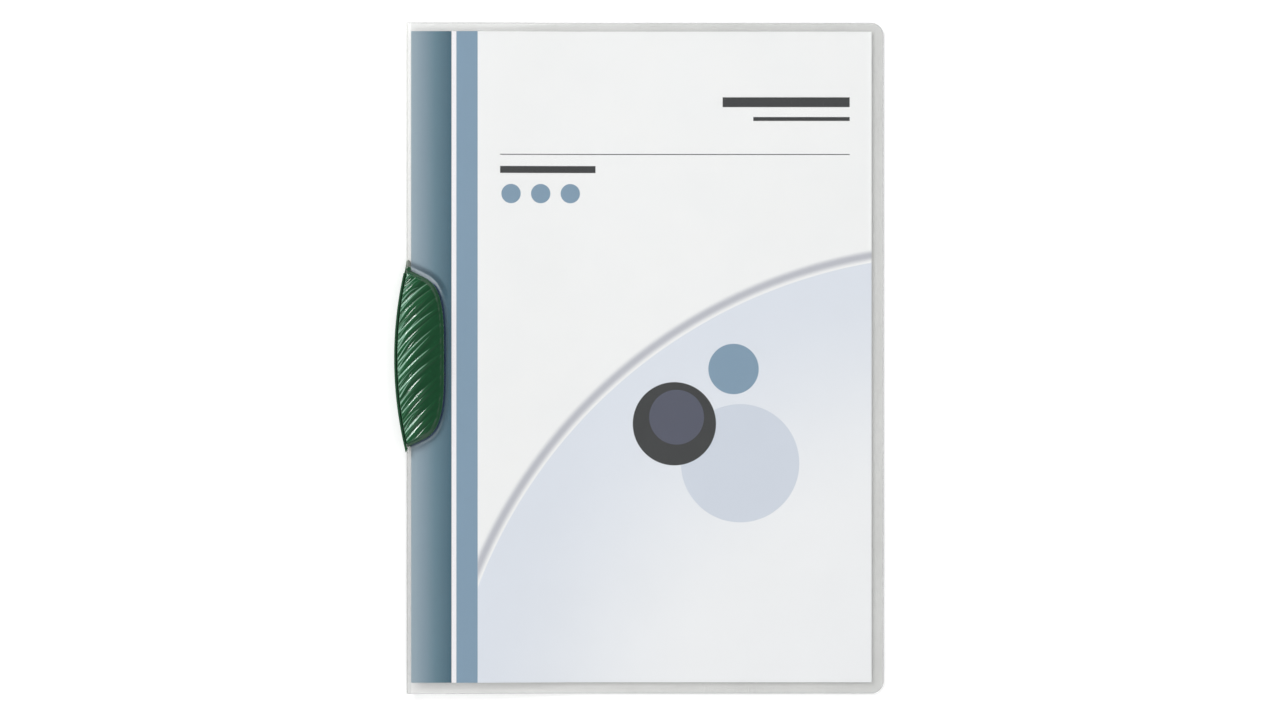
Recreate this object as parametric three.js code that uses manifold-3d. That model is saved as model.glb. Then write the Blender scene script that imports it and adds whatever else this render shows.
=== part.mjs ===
// Clip folder for loose A4 sheets, lying closed on its back.
//
// One folded plastic film makes the back cover, the spine and the narrow front margin that the clip
// grips. The front cover goes on from a crease beside the clip. A printed sheet lies inside.
// The clip sits astride the spine like a pocket knife's handle: a wrinkled lever on top of the
// folder, a smooth plate behind it, and a wall outside the spine that joins the two. It turns
// about a pin at its upper end, so it can be swung out to the left to let the sheets go.
//
// Millimetres, +Z up, +Y towards the top of the page. Until the last group moves the model to its
// own centre, x runs from the outside of the spine fold and y from the middle of the folder.
import * as THREE from "three";
import { mergeVertices } from "three/addons/utils/BufferGeometryUtils.js";
import Module from "manifold-3d";

const wasm = await Module();
wasm.setup();

// Sheet and covers
const SHEET_WIDTH = 210;
const SHEET_HEIGHT = 297;
const SHEET_THICKNESS = 0.25;
const SPINE_MARGIN = 2.3; // from the outside of the fold to the sheet
const FORE_MARGIN = 5.6;
const TOP_MARGIN = 4.0;
const BOTTOM_MARGIN = 5.2;
const FILM_THICKNESS = 0.4;
const CORNER_RADIUS = 6;
const LAYER_GAP = 0.3; // air between two layers that lie on each other
const CREASE_CLEARANCE = 4.5; // from the lever's edge to the crease of the front cover
const CREASE_GAP = 0.3;
const SLOPE_OFFSET = 4.5; // from the crease to where the film starts to come down to the table
const SLOPE_LENGTH = 62;
const SLOPE_STEPS = 14;

// Clip, seen from above
const CLIP_LENGTH = 86; // between its two tips, which lie level with the outside of the fold
const CLIP_BULGE = 5.3; // how far the wall stands out past the spine
const LEVER_REACH = 17.4; // from the spine's outer face to the lever's edge
const LEVER_END_INSET = 2.4; // from the clip's tip to the lever's end
const LEVER_END_ANGLE = 25; // degrees between the lever's end and the edges of the page
const LEVER_SQUARENESS = 4; // exponent of the lever's outline: 2 is an ellipse, more is squarer
const LEVER_CORNER = 9; // how tight the corner is where its end meets its side
const PLATE_REACH = 24;
const PLATE_OVERHANG = 7; // how far the plate runs on past the clip's lower tip
const PLATE_CORNER = 2; // from the lever's lower end to where the plate leaves the wall
const RIM_WIDTH = 1.1;
const RIM_GAP = 0.3;
const TIP_WIDTH = 1.5; // width of the rim where its lower tip starts to taper
const SPINE_CLEARANCE = 0.4; // between the fold and the wall
const LEDGE_END_GAP = 0.8;

// Clip, heights
const PLATE_THICKNESS = 1.6;
const PLATE_BEVEL = 0.4;
const RIM_HEIGHT = 1.7; // above the lever's seat
const RIM_BEVEL = 0.35;
const FLANGE_THICKNESS = 0.9;
const FLANGE_WIDTH = 1.2;
const FLANGE_BEVEL = 0.3;
const CREST_HEIGHT = 3.2; // from the lever's underside to its crest
const EDGE_HEIGHT = 1.35;
const WALL_SIDE_HEIGHT = 2.3;
const CREST_PLACE = 0.3; // share of the lever's width at which the crest lies
const END_FALL = 0.9; // how much lower the crest is at both ends

// Wrinkles of the lever: narrow ones leave the wall side, and run together into broad ones
const WRINKLE_DEPTH = 0.85;
const WRINKLE_PITCH = 2.6;
const BROAD_PITCH = 5.7;
const WRINKLE_RISE = 21; // how far up the page a wrinkle climbs across the lever's width
const WRINKLE_BEND = 2.6; // how far it bows away from a straight line on the way
const WRINKLE_STEP = 0.43;
const WRINKLE_COLUMNS = 13;

// Hollow underside of the lever
const POCKET_INSET = 3.4;
const POCKET_DEPTH = 0.9;
const POCKET_CELLS = 6;
const RIB_THICKNESS = 1.1;

// Pegs on the ledge that locate the lever
const PEG_RADIUS = 0.7;
const PEG_HEIGHT = 1.1;
const PEG_SPACING = 19;
const PEG_COUNT = 3;
const PEG_CLEARANCE = 0.3;

// Pivot
const PIVOT_INSET = 1.3; // from the outside of the fold to the pin's axis
const PIVOT_FROM_TIP = 2.4;
const PIN_RADIUS = 0.6;
const PIN_CLEARANCE = 0.12;
const PIN_HEAD_RADIUS = 1.1;
const PIN_HEAD_HEIGHT = 0.45;
const PIN_RECESS = 0.15; // how deep the lower head lies in the plate
const LEVER_EYE_RADIUS = 1.5;
const LEVER_EYE_THICKNESS = 1.1;
const PLATE_EYE_RADIUS = 1.9;
const NOSE_LENGTH = 4.2; // from the pin's axis to the end of the plate's nose
const NOSE_RADIUS = 0.9;

// Coined seat that the lever drops towards, in the front margin
const SEAT_BORDER = 2.4;
const SEAT_DEPTH = 0.15;

const ROUND_SEGMENTS = 24;
const OUTLINE_STEPS = 40;

// Sizes worked out from the ones above
const coverWidth = SPINE_MARGIN + SHEET_WIDTH + FORE_MARGIN;
const coverHeight = BOTTOM_MARGIN + SHEET_HEIGHT + TOP_MARGIN;
const sheetMiddle = (BOTTOM_MARGIN - TOP_MARGIN) / 2;
const creaseX = LEVER_REACH + CREASE_CLEARANCE;
const slopeStart = creaseX + SLOPE_OFFSET;

const backLift = PLATE_THICKNESS + LAYER_GAP;
const sheetOffset = FILM_THICKNESS + LAYER_GAP;
const frontOffset = sheetOffset + SHEET_THICKNESS + LAYER_GAP;
const frontTop = backLift + frontOffset + FILM_THICKNESS;
const foldRadius = (frontTop - backLift) / 2;
const leverSeat = frontTop + LAYER_GAP;

const halfClip = CLIP_LENGTH / 2;
const wallRadius = (halfClip ** 2 + CLIP_BULGE ** 2) / (2 * CLIP_BULGE);
const leverHalf = halfClip - LEVER_END_INSET;
const leverEndSlope = Math.tan(THREE.MathUtils.degToRad(LEVER_END_ANGLE));
const pivotY = halfClip - PIVOT_FROM_TIP;

const COLOURS = {
  film: { color: 0xdfe2e0, roughness: 0.35, metalness: 0, transparent: true, opacity: 0.45 },
  sheet: { color: 0xf2f3f3, roughness: 0.8, metalness: 0 },
  clip: { color: 0x14502c, roughness: 0.22, metalness: 0 },
};

// Turns a closed three.js geometry into a solid that can be joined and cut.
function toSolid(geometry) {
  const bare = geometry.index ? geometry.toNonIndexed() : geometry.clone();
  bare.deleteAttribute("normal");
  bare.deleteAttribute("uv");
  const merged = mergeVertices(bare, 1e-4);
  return new wasm.Manifold(
    new wasm.Mesh({
      numProp: 3,
      vertProperties: new Float32Array(merged.attributes.position.array),
      triVerts: new Uint32Array(merged.index.array),
    }),
  );
}

function toGeometry(solid) {
  const { vertProperties, triVerts, numProp } = solid.getMesh();
  const positions = new Float32Array((vertProperties.length / numProp) * 3);
  for (let i = 0; i < positions.length / 3; i++)
    for (let axis = 0; axis < 3; axis++)
      positions[3 * i + axis] = vertProperties[numProp * i + axis];
  const indexed = new THREE.BufferGeometry();
  indexed.setAttribute("position", new THREE.BufferAttribute(positions, 3));
  indexed.setIndex(new THREE.BufferAttribute(triVerts, 1));
  const faceted = indexed.toNonIndexed();
  faceted.computeVertexNormals();
  return faceted;
}

// A solid that stands on the plan shape, from one height to another.
function prism(shape, low, high, bevel = 0, bevelSegments = 2) {
  const geometry = new THREE.ExtrudeGeometry(shape, {
    depth: high - low - 2 * bevel,
    bevelEnabled: bevel > 0,
    bevelThickness: bevel,
    bevelSize: bevel,
    bevelOffset: -bevel,
    bevelSegments,
    curveSegments: ROUND_SEGMENTS,
  });
  geometry.translate(0, 0, low + bevel);
  return toSolid(geometry);
}

function post(x, y, radius, low, high) {
  const geometry = new THREE.CylinderGeometry(radius, radius, high - low, ROUND_SEGMENTS);
  geometry.rotateX(Math.PI / 2);
  geometry.translate(x, y, (low + high) / 2);
  return toSolid(geometry);
}

function block(xLow, xHigh, yLow, yHigh, zLow, zHigh) {
  const geometry = new THREE.BoxGeometry(xHigh - xLow, yHigh - yLow, zHigh - zLow);
  geometry.translate((xLow + xHigh) / 2, (yLow + yHigh) / 2, (zLow + zHigh) / 2);
  return toSolid(geometry);
}

function shapeFrom(points) {
  return new THREE.Shape(points.map(([x, y]) => new THREE.Vector2(x, y)));
}

function smoothStep(low, high, value) {
  const t = Math.min(1, Math.max(0, (value - low) / (high - low)));
  return t * t * (3 - 2 * t);
}

// Height of the back cover's underside above the table: the plate holds it up near the spine,
// and the film comes down to the table beyond the plate.
function lift(x) {
  return backLift * (1 - smoothStep(slopeStart, slopeStart + SLOPE_LENGTH, x));
}

// The x places at which a layer's section bends, from one end of the layer to the other.
function slopePlaces(from, to) {
  const places = [from];
  for (let i = 0; i <= SLOPE_STEPS; i++) {
    const x = slopeStart + (SLOPE_LENGTH * i) / SLOPE_STEPS;
    if (x > from && x < to) places.push(x);
  }
  places.push(to);
  return places;
}

// Extrudes a section drawn in x and z along the page, about the middle of the folder.
function alongPage(section, length, middle) {
  const geometry = new THREE.ExtrudeGeometry(section, {
    depth: length,
    bevelEnabled: false,
    curveSegments: ROUND_SEGMENTS / 2,
  });
  geometry.rotateX(Math.PI / 2);
  geometry.translate(0, middle + length / 2, 0);
  return toSolid(geometry);
}

function layerSection(from, to, offset, thickness) {
  const under = slopePlaces(from, to).map((x) => [x, lift(x) + offset]);
  const over = under.map(([x, z]) => [x, z + thickness]).reverse();
  return shapeFrom([...under, ...over]);
}

// Plan of the covers: square at the spine, rounded at the two fore corners.
function coverPlan() {
  const half = coverHeight / 2;
  const plan = new THREE.Shape();
  plan.moveTo(-1, -half);
  plan.lineTo(coverWidth - CORNER_RADIUS, -half);
  plan.absarc(coverWidth - CORNER_RADIUS, -half + CORNER_RADIUS, CORNER_RADIUS, -Math.PI / 2, 0);
  plan.absarc(coverWidth - CORNER_RADIUS, half - CORNER_RADIUS, CORNER_RADIUS, 0, Math.PI / 2);
  plan.lineTo(-1, half);
  return prism(plan, -1, leverSeat + 1);
}

function pivotHole(radius, low, high) {
  return post(PIVOT_INSET, pivotY, radius, low, high);
}

// Back cover, spine fold and front margin: one film, folded once.
function backCover() {
  const section = new THREE.Shape();
  const middle = backLift + foldRadius;
  const places = slopePlaces(foldRadius, coverWidth);
  section.moveTo(coverWidth, lift(coverWidth));
  for (const x of places.slice(0, -1).reverse()) section.lineTo(x, lift(x));
  section.absarc(foldRadius, middle, foldRadius, -Math.PI / 2, Math.PI / 2, true);
  section.lineTo(creaseX - CREASE_GAP / 2, frontTop);
  section.lineTo(creaseX - CREASE_GAP / 2, frontTop - FILM_THICKNESS);
  section.lineTo(foldRadius, frontTop - FILM_THICKNESS);
  section.absarc(foldRadius, middle, foldRadius - FILM_THICKNESS, Math.PI / 2, (3 * Math.PI) / 2);
  for (const x of places.slice(1)) section.lineTo(x, lift(x) + FILM_THICKNESS);
  const seat = prism(leverPlan(-SEAT_BORDER, -SEAT_BORDER), frontTop - SEAT_DEPTH, leverSeat);
  const inFront = block(foldRadius, creaseX - 1, -coverHeight, coverHeight, frontTop - 1, leverSeat + 1);
  return alongPage(section, coverHeight, 0)
    .intersect(coverPlan())
    .subtract(seat.intersect(inFront))
    .subtract(pivotHole(PIN_RADIUS + PIN_CLEARANCE, backLift - 1, leverSeat));
}

function frontCover() {
  const section = layerSection(creaseX + CREASE_GAP / 2, coverWidth, frontOffset, FILM_THICKNESS);
  return alongPage(section, coverHeight, 0).intersect(coverPlan());
}

function insertSheet() {
  const section = layerSection(
    SPINE_MARGIN,
    SPINE_MARGIN + SHEET_WIDTH,
    sheetOffset,
    SHEET_THICKNESS,
  );
  return alongPage(section, SHEET_HEIGHT, sheetMiddle);
}

// x of the wall's outer face, moved inwards by an inset.
function wallX(y, inset = 0) {
  return wallRadius - CLIP_BULGE - Math.sqrt((wallRadius - inset) ** 2 - y * y);
}

// x of the lever's edge: a squared-off half ellipse whose ends are cut off at a slant.
function leverEdgeX(y, inset) {
  const toEnd = leverHalf - inset - Math.abs(y);
  const share = Math.min(1, 1 - toEnd / (leverHalf - inset));
  const side = (LEVER_REACH - inset) * Math.sqrt(1 - share ** LEVER_SQUARENESS);
  const slant = SPINE_CLEARANCE + Math.max(0, toEnd) / leverEndSlope;
  if (side === 0) return 0;
  return (side ** -LEVER_CORNER + slant ** -LEVER_CORNER) ** (-1 / LEVER_CORNER);
}

// Plan of the lever: the wall's curve on one side and the squared half ellipse on the other.
function leverPlan(edgeInset, wallInset) {
  const half = leverHalf - edgeInset;
  const edge = [];
  const wall = [];
  for (let i = 0; i <= OUTLINE_STEPS; i++) {
    const angle = (Math.PI * i) / OUTLINE_STEPS - Math.PI / 2;
    const y = half * Math.sin(angle);
    if (leverEdgeX(y, edgeInset) > wallX(y, wallInset)) {
      edge.push([leverEdgeX(y, edgeInset), y]);
      wall.push([wallX(y, wallInset), y]);
    }
  }
  return shapeFrom([...edge, ...wall.reverse()]);
}

// Height of the lever's smooth top above its underside.
function crown(x, y) {
  const share = (x + CLIP_BULGE) / (LEVER_REACH + CLIP_BULGE);
  const ends = END_FALL * (y / halfClip) ** 2;
  const rise = smoothStep(0, CREST_PLACE, share);
  const fall = smoothStep(CREST_PLACE, 1.15, share);
  const wallSide = WALL_SIDE_HEIGHT + (CREST_HEIGHT - WALL_SIDE_HEIGHT) * rise;
  return wallSide - (CREST_HEIGHT - EDGE_HEIGHT) * fall - ends * (1 - 0.6 * fall);
}

// How far up the page a wrinkle has climbed when it is part of the way across. Those near the
// upper end flatten out, and those near the lower end steepen.
function climb(start, across) {
  const bend = WRINKLE_BEND * Math.sin(Math.PI * across);
  return WRINKLE_RISE * across + bend * Math.sin(((start + halfClip / 2) * Math.PI) / CLIP_LENGTH);
}

// Height of the wrinkles: start is the place along the wall where a wrinkle begins, and across
// runs from 0 at the wall to 1 at the lever's edge. Each wrinkle swells and sinks on its way.
function wrinkle(start, across) {
  const wander = 0.9 * Math.sin(start / 5.1 + 1.3) + 0.6 * Math.sin(start / 2.9 + 4 * across);
  const ridge = (pitch, shift) => {
    const wave = 0.5 + 0.5 * Math.cos((2 * Math.PI * (start + wander)) / pitch + shift);
    return wave ** 1.8;
  };
  const narrow = ridge(WRINKLE_PITCH, 1.1 * Math.sin(3.2 * across + start / 8));
  const broad = ridge(BROAD_PITCH, 1.6 * across);
  const merge = smoothStep(0.25, 0.75, across + 0.12 * Math.sin(start / 3.7));
  const swell = 0.8 + 0.2 * Math.sin(start / 1.7 + 7 * across);
  return WRINKLE_DEPTH * swell * ((1 - merge) * narrow + 0.8 * merge * broad - 0.4);
}

// A slab whose top is the wrinkled crown. Its grid leans with the wrinkles, so that each
// wrinkle's length needs few faces.
function wrinkledSlab(low) {
  const border = 1;
  const xLow = -CLIP_BULGE - border;
  const width = LEVER_REACH + CLIP_BULGE + 2 * border;
  const start = -halfClip - WRINKLE_RISE - border;
  const rows = Math.ceil((CLIP_LENGTH + WRINKLE_RISE + 2 * border) / WRINKLE_STEP);
  const columns = WRINKLE_COLUMNS + 1;
  const positions = [];
  const faces = [];
  for (const top of [false, true])
    for (let row = 0; row <= rows; row++)
      for (let column = 0; column < columns; column++) {
        const across = column / WRINKLE_COLUMNS;
        const along = start + row * WRINKLE_STEP;
        const x = xLow + across * width;
        const y = along + climb(along, across);
        positions.push(x, y, top ? leverSeat + crown(x, y) + wrinkle(along, across) : low);
      }
  const layer = (rows + 1) * columns;
  const at = (row, column, top) => (top ? layer : 0) + row * columns + column;
  for (let row = 0; row < rows; row++)
    for (let column = 0; column < WRINKLE_COLUMNS; column++) {
      const [a, b] = [at(row, column, true), at(row, column + 1, true)];
      const [c, d] = [at(row + 1, column + 1, true), at(row + 1, column, true)];
      faces.push(a, b, c, a, c, d);
      faces.push(a - layer, c - layer, b - layer, a - layer, d - layer, c - layer);
    }
  const side = (a, b) => faces.push(a - layer, b - layer, b, a - layer, b, a);
  for (let column = 0; column < WRINKLE_COLUMNS; column++) {
    side(at(0, column, true), at(0, column + 1, true));
    side(at(rows, column + 1, true), at(rows, column, true));
  }
  for (let row = 0; row < rows; row++) {
    side(at(row + 1, 0, true), at(row, 0, true));
    side(at(row, WRINKLE_COLUMNS, true), at(row + 1, WRINKLE_COLUMNS, true));
  }
  const geometry = new THREE.BufferGeometry();
  geometry.setAttribute("position", new THREE.Float32BufferAttribute(positions, 3));
  geometry.setIndex(faces);
  return toSolid(geometry);
}

function pegPlaces() {
  return Array.from({ length: PEG_COUNT }, (_, i) => {
    const y = (i - (PEG_COUNT - 1) / 2) * PEG_SPACING;
    return [(wallX(y, RIM_WIDTH) - SPINE_CLEARANCE) / 2, y];
  });
}

// Lever: a smooth flange all round, the wrinkled body inside it, an eye with a flat seat for the
// pin's head, and a hollow underside divided by ribs.
function clipLever() {
  const wallInset = RIM_WIDTH + RIM_GAP;
  const eyeTop = leverSeat + LEVER_EYE_THICKNESS;
  const clearTop = leverSeat + 2 * CREST_HEIGHT;
  const flange = prism(
    leverPlan(0, wallInset),
    leverSeat,
    leverSeat + FLANGE_THICKNESS,
    FLANGE_BEVEL,
  );
  const body = wrinkledSlab(leverSeat - 1).intersect(
    prism(leverPlan(FLANGE_WIDTH, wallInset), leverSeat, clearTop),
  );
  const neckLow = pivotY - LEVER_EYE_RADIUS - RIM_GAP;
  const neck = shapeFrom([
    [wallX(neckLow, wallInset), neckLow],
    [leverEdgeX(neckLow, 0), neckLow],
    [PIVOT_INSET + LEVER_EYE_RADIUS, pivotY],
    [PIVOT_INSET - LEVER_EYE_RADIUS, pivotY],
  ]);
  let lever = flange
    .add(body)
    .subtract(pivotHole(LEVER_EYE_RADIUS, eyeTop, clearTop))
    .add(pivotHole(LEVER_EYE_RADIUS, leverSeat, eyeTop))
    .add(prism(neck, leverSeat, eyeTop))
    .subtract(pivotHole(PIN_RADIUS + PIN_CLEARANCE, leverSeat - 1, clearTop));
  const pocket = prism(
    leverPlan(POCKET_INSET, wallInset + POCKET_INSET),
    leverSeat - 1,
    leverSeat + POCKET_DEPTH,
  );
  const cellPitch = (2 * (leverHalf - POCKET_INSET)) / POCKET_CELLS;
  for (let i = 0; i < POCKET_CELLS; i++) {
    const yLow = -(leverHalf - POCKET_INSET) + i * cellPitch;
    const cell = block(
      -CLIP_BULGE,
      LEVER_REACH,
      yLow + RIB_THICKNESS / 2,
      yLow + cellPitch - RIB_THICKNESS / 2,
      leverSeat - 2,
      leverSeat + CREST_HEIGHT,
    );
    lever = lever.subtract(pocket.intersect(cell));
  }
  for (const [x, y] of pegPlaces())
    lever = lever.subtract(
      post(x, y, PEG_RADIUS + PEG_CLEARANCE, leverSeat - 1, leverSeat + PEG_HEIGHT + PEG_CLEARANCE),
    );
  return lever;
}

// Plan of the plate behind the folder: an uneven oval that ends in a nose above the pin. Its
// lower end steps in from the wall, so that it stays hidden behind the sheet.
function platePlan() {
  const low = -halfClip;
  const end = low - PLATE_OVERHANG;
  const corner = PLATE_CORNER - leverHalf;
  const noseY = pivotY + NOSE_LENGTH - NOSE_RADIUS;
  const plan = new THREE.Shape();
  plan.moveTo(wallX(corner), corner);
  plan.lineTo(SPINE_MARGIN, corner - PLATE_CORNER);
  plan.quadraticCurveTo(SPINE_MARGIN, end, PLATE_REACH * 0.42, end);
  plan.bezierCurveTo(PLATE_REACH * 0.75, end, PLATE_REACH * 0.95, low, PLATE_REACH, low * 0.45);
  plan.bezierCurveTo(
    PLATE_REACH * 1.05,
    halfClip * 0.2,
    PLATE_REACH * 0.86,
    halfClip * 0.72,
    PIVOT_INSET + PLATE_EYE_RADIUS,
    pivotY,
  );
  plan.absarc(NOSE_RADIUS, noseY, NOSE_RADIUS, 0, Math.PI);
  for (let i = 0; i < OUTLINE_STEPS; i++) {
    const y = pivotY - ((pivotY - corner) * i) / OUTLINE_STEPS;
    plan.lineTo(wallX(y), y);
  }
  return plan;
}

// A strip along the wall between two insets, or up to a fixed x where that comes first.
function wallStrip(outerInset, innerInset, limitX, yLow, yHigh) {
  const outer = [];
  const inner = [];
  for (let i = 0; i <= OUTLINE_STEPS; i++) {
    const y = yLow + ((yHigh - yLow) * i) / OUTLINE_STEPS;
    outer.push([wallX(y, outerInset), y]);
    inner.push([Math.min(wallX(y, innerInset), limitX), y]);
  }
  return shapeFrom([...inner, ...outer.reverse()]);
}

// y at which the wall's outer face, moved inwards by an inset, reaches an x.
function wallY(x, inset = 0) {
  const fromCentre = wallRadius - CLIP_BULGE - x;
  return Math.sqrt((wallRadius - inset) ** 2 - fromCentre ** 2);
}

// Base: the plate, the ledge outside the spine that the lever sits on, and the smooth rim that
// shows beside the lever and ends in the clip's lower tip.
function clipBase() {
  const plate = prism(platePlan(), 0, PLATE_THICKNESS, PLATE_BEVEL);
  const ledgeEnd = wallY(-SPINE_CLEARANCE) - LEDGE_END_GAP;
  const ledge = prism(
    wallStrip(0, CLIP_BULGE, -SPINE_CLEARANCE, -ledgeEnd, ledgeEnd - 2 * LEVER_EYE_RADIUS),
    PLATE_THICKNESS - PLATE_BEVEL,
    leverSeat,
  );
  const rimEnd = pivotY - LEVER_EYE_RADIUS - RIM_GAP;
  const tipStart = -leverHalf - RIM_GAP;
  const tip = shapeFrom([
    [wallX(-halfClip), -halfClip],
    [wallX(tipStart) + TIP_WIDTH, tipStart],
    [wallX(tipStart), tipStart],
  ]);
  const rimLow = leverSeat - 2 * RIM_BEVEL;
  const rimHigh = leverSeat + RIM_HEIGHT;
  const strip = wallStrip(0, RIM_WIDTH, halfClip, tipStart, rimEnd);
  const rim = prism(strip, rimLow, rimHigh, RIM_BEVEL).add(
    prism(tip, rimLow, rimHigh - RIM_BEVEL),
  );
  const tipRelief = block(
    -SPINE_CLEARANCE,
    CLIP_BULGE,
    -CLIP_LENGTH,
    CLIP_LENGTH,
    PLATE_THICKNESS,
    leverSeat,
  );
  // The rim's upper end passes over the film when the clip swings out.
  const swingRelief = block(
    -CLIP_BULGE,
    CLIP_BULGE,
    ledgeEnd - 2 * LEVER_EYE_RADIUS,
    CLIP_LENGTH,
    PLATE_THICKNESS,
    leverSeat,
  );
  let base = ledge.add(rim).subtract(tipRelief).subtract(swingRelief).add(plate);
  for (const [x, y] of pegPlaces())
    base = base.add(post(x, y, PEG_RADIUS, leverSeat - 1, leverSeat + PEG_HEIGHT));
  return base
    .subtract(pivotHole(PIN_RADIUS + PIN_CLEARANCE, -1, leverSeat))
    .subtract(pivotHole(PIN_HEAD_RADIUS + PIN_CLEARANCE, -1, PIN_RECESS + PIN_HEAD_HEIGHT));
}

// Pin with a flat head let into the plate and a low domed head on the lever's eye.
function pivotPin() {
  const top = leverSeat + LEVER_EYE_THICKNESS;
  const crownHeight = PIN_HEAD_HEIGHT / 3;
  const outline = [
    [0, PIN_RECESS],
    [PIN_HEAD_RADIUS, PIN_RECESS],
    [PIN_HEAD_RADIUS, PIN_RECESS + PIN_HEAD_HEIGHT],
    [PIN_RADIUS, PIN_RECESS + PIN_HEAD_HEIGHT],
    [PIN_RADIUS, top],
    [PIN_HEAD_RADIUS, top],
    [PIN_HEAD_RADIUS, top + PIN_HEAD_HEIGHT - crownHeight],
    [PIN_HEAD_RADIUS * 0.7, top + PIN_HEAD_HEIGHT],
    [0, top + PIN_HEAD_HEIGHT],
  ];
  const geometry = new THREE.LatheGeometry(
    outline.map(([radius, height]) => new THREE.Vector2(radius, height)),
    ROUND_SEGMENTS,
  );
  geometry.rotateX(Math.PI / 2);
  geometry.translate(PIVOT_INSET, pivotY, 0);
  return toSolid(geometry);
}

function mesh(name, solid, colour) {
  const part = new THREE.Mesh(toGeometry(solid), new THREE.MeshStandardMaterial(colour));
  part.name = name;
  return part;
}

const folder = new THREE.Group();
folder.add(
  mesh("back_cover", backCover(), COLOURS.film),
  mesh("front_cover", frontCover(), COLOURS.film),
  mesh("insert_sheet", insertSheet(), COLOURS.sheet),
);

const clip = new THREE.Group();
clip.add(
  mesh("clip_base", clipBase(), COLOURS.clip),
  mesh("clip_lever", clipLever(), COLOURS.clip),
  mesh("pivot_pin", pivotPin(), COLOURS.clip),
);

// The model's own origin is under the middle of the whole object, clip included.
const clipFolder = new THREE.Group();
clipFolder.add(folder, clip);
clipFolder.position.x = (CLIP_BULGE - coverWidth) / 2;

export default clipFolder;
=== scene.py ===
"""Looks of the A4 clip folder: clear film covers, a printed sheet and a crumpled green swing clip.

Lengths are in millimetres until a mesh is made. x runs from the outside of the spine fold, y
from the middle of the folder and z from the table, as in the CAD model.
"""
import math

import bpy
import numpy as np
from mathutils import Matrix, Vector


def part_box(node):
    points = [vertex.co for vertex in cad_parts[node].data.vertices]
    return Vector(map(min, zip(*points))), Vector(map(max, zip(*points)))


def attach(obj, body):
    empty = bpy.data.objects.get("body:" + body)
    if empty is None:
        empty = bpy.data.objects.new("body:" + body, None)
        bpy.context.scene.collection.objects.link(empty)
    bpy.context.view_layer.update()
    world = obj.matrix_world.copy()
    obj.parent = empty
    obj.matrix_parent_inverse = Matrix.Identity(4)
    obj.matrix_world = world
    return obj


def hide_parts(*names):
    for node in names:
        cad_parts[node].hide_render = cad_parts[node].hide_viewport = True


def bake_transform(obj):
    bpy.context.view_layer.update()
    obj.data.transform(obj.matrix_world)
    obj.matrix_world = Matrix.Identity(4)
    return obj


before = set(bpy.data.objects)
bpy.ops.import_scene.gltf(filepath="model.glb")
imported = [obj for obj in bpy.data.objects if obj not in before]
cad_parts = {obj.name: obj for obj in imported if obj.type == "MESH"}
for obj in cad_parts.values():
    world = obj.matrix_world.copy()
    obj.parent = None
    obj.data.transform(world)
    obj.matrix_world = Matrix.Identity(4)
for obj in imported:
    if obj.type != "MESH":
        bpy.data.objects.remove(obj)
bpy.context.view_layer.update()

MM = 0.001
SPINE_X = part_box("back_cover")[0].x / MM

# Places that the CAD model gives
cover_low, cover_high = (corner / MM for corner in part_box("back_cover"))
sheet_low, sheet_high = (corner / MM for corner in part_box("insert_sheet"))
lever_low, lever_high = (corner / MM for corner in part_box("clip_lever"))
COVER_WIDTH = cover_high.x - cover_low.x
COVER_HALF = (cover_high.y - cover_low.y) / 2
LEVER_SEAT = lever_low.z
LEVER_REACH = lever_high.x - SPINE_X
LEVER_TOP = lever_high.z

# Layers of the folder, as in the CAD model
FILM_THICKNESS = 0.4
SHEET_THICKNESS = 0.25
LAYER_GAP = 0.3
CORNER_RADIUS = 6
PLATE_THICKNESS = 1.6
BACK_LIFT = PLATE_THICKNESS + LAYER_GAP
SHEET_OFFSET = FILM_THICKNESS + LAYER_GAP
FRONT_OFFSET = SHEET_OFFSET + SHEET_THICKNESS + LAYER_GAP
FRONT_TOP = BACK_LIFT + FRONT_OFFSET + FILM_THICKNESS
FOLD_RADIUS = (FRONT_TOP - BACK_LIFT) / 2
CREASE_CLEARANCE = 4.5
CREASE_X = LEVER_REACH + CREASE_CLEARANCE
SLOPE_CLEARANCE = 4.5
SLOPE_START = CREASE_X + SLOPE_CLEARANCE
SLOPE_LENGTH = 62

# Clip, as in the CAD model
CLIP_LENGTH = 86
CLIP_BULGE = 5.3
HALF_CLIP = CLIP_LENGTH / 2
WALL_RADIUS = (HALF_CLIP**2 + CLIP_BULGE**2) / (2 * CLIP_BULGE)
LEVER_END_GAP = 2.4
LEVER_HALF = HALF_CLIP - LEVER_END_GAP
LEVER_END_SLOPE = math.tan(math.radians(25))
LEVER_SQUARENESS = 4
LEVER_CORNER = 9
SPINE_CLEARANCE = 0.4
RIM_THICKNESS = 1.1
RIM_CLEARANCE = 0.3
WALL_INSET = RIM_THICKNESS + RIM_CLEARANCE
FLANGE_THICKNESS = 0.9
FLANGE_WIDTH = 1.2
CREST_HEIGHT = 3.2
EDGE_HEIGHT = 1.35
WALL_SIDE_HEIGHT = 2.3
CREST_PLACE = 0.3
END_FALL = 0.9

# Film as the picture shows it
SEAM_X = CREASE_X - 1.3  # where the two film pieces meet, in front of the crease
BEND_HALF = 0.9  # half the width of the strip of film that bends at the crease
SEAT_BORDER = 2.4  # width of the pressed seat outside the lever
SEAT_SLOPE = 0.7  # width of the seat's sloping edge
SEAT_DEPTH = 0.15
CLEAR_HAZE = 0.05  # opacity of each face of the film over the sheet
BACK_FROST_AND_SHADE = (0.12, 0.21)  # haze added in the back's border, by the spine and at the fore edge: the film's frosting, with a painted shade that darkens the border towards the fore edge
FRONT_FROST = 0.15  # share of that in the front's border
FILM_ADDS = 0.06  # light that the clear film adds to what lies under it
FILM_PASSES = 0.905  # share of the light from under it that it lets through

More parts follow.
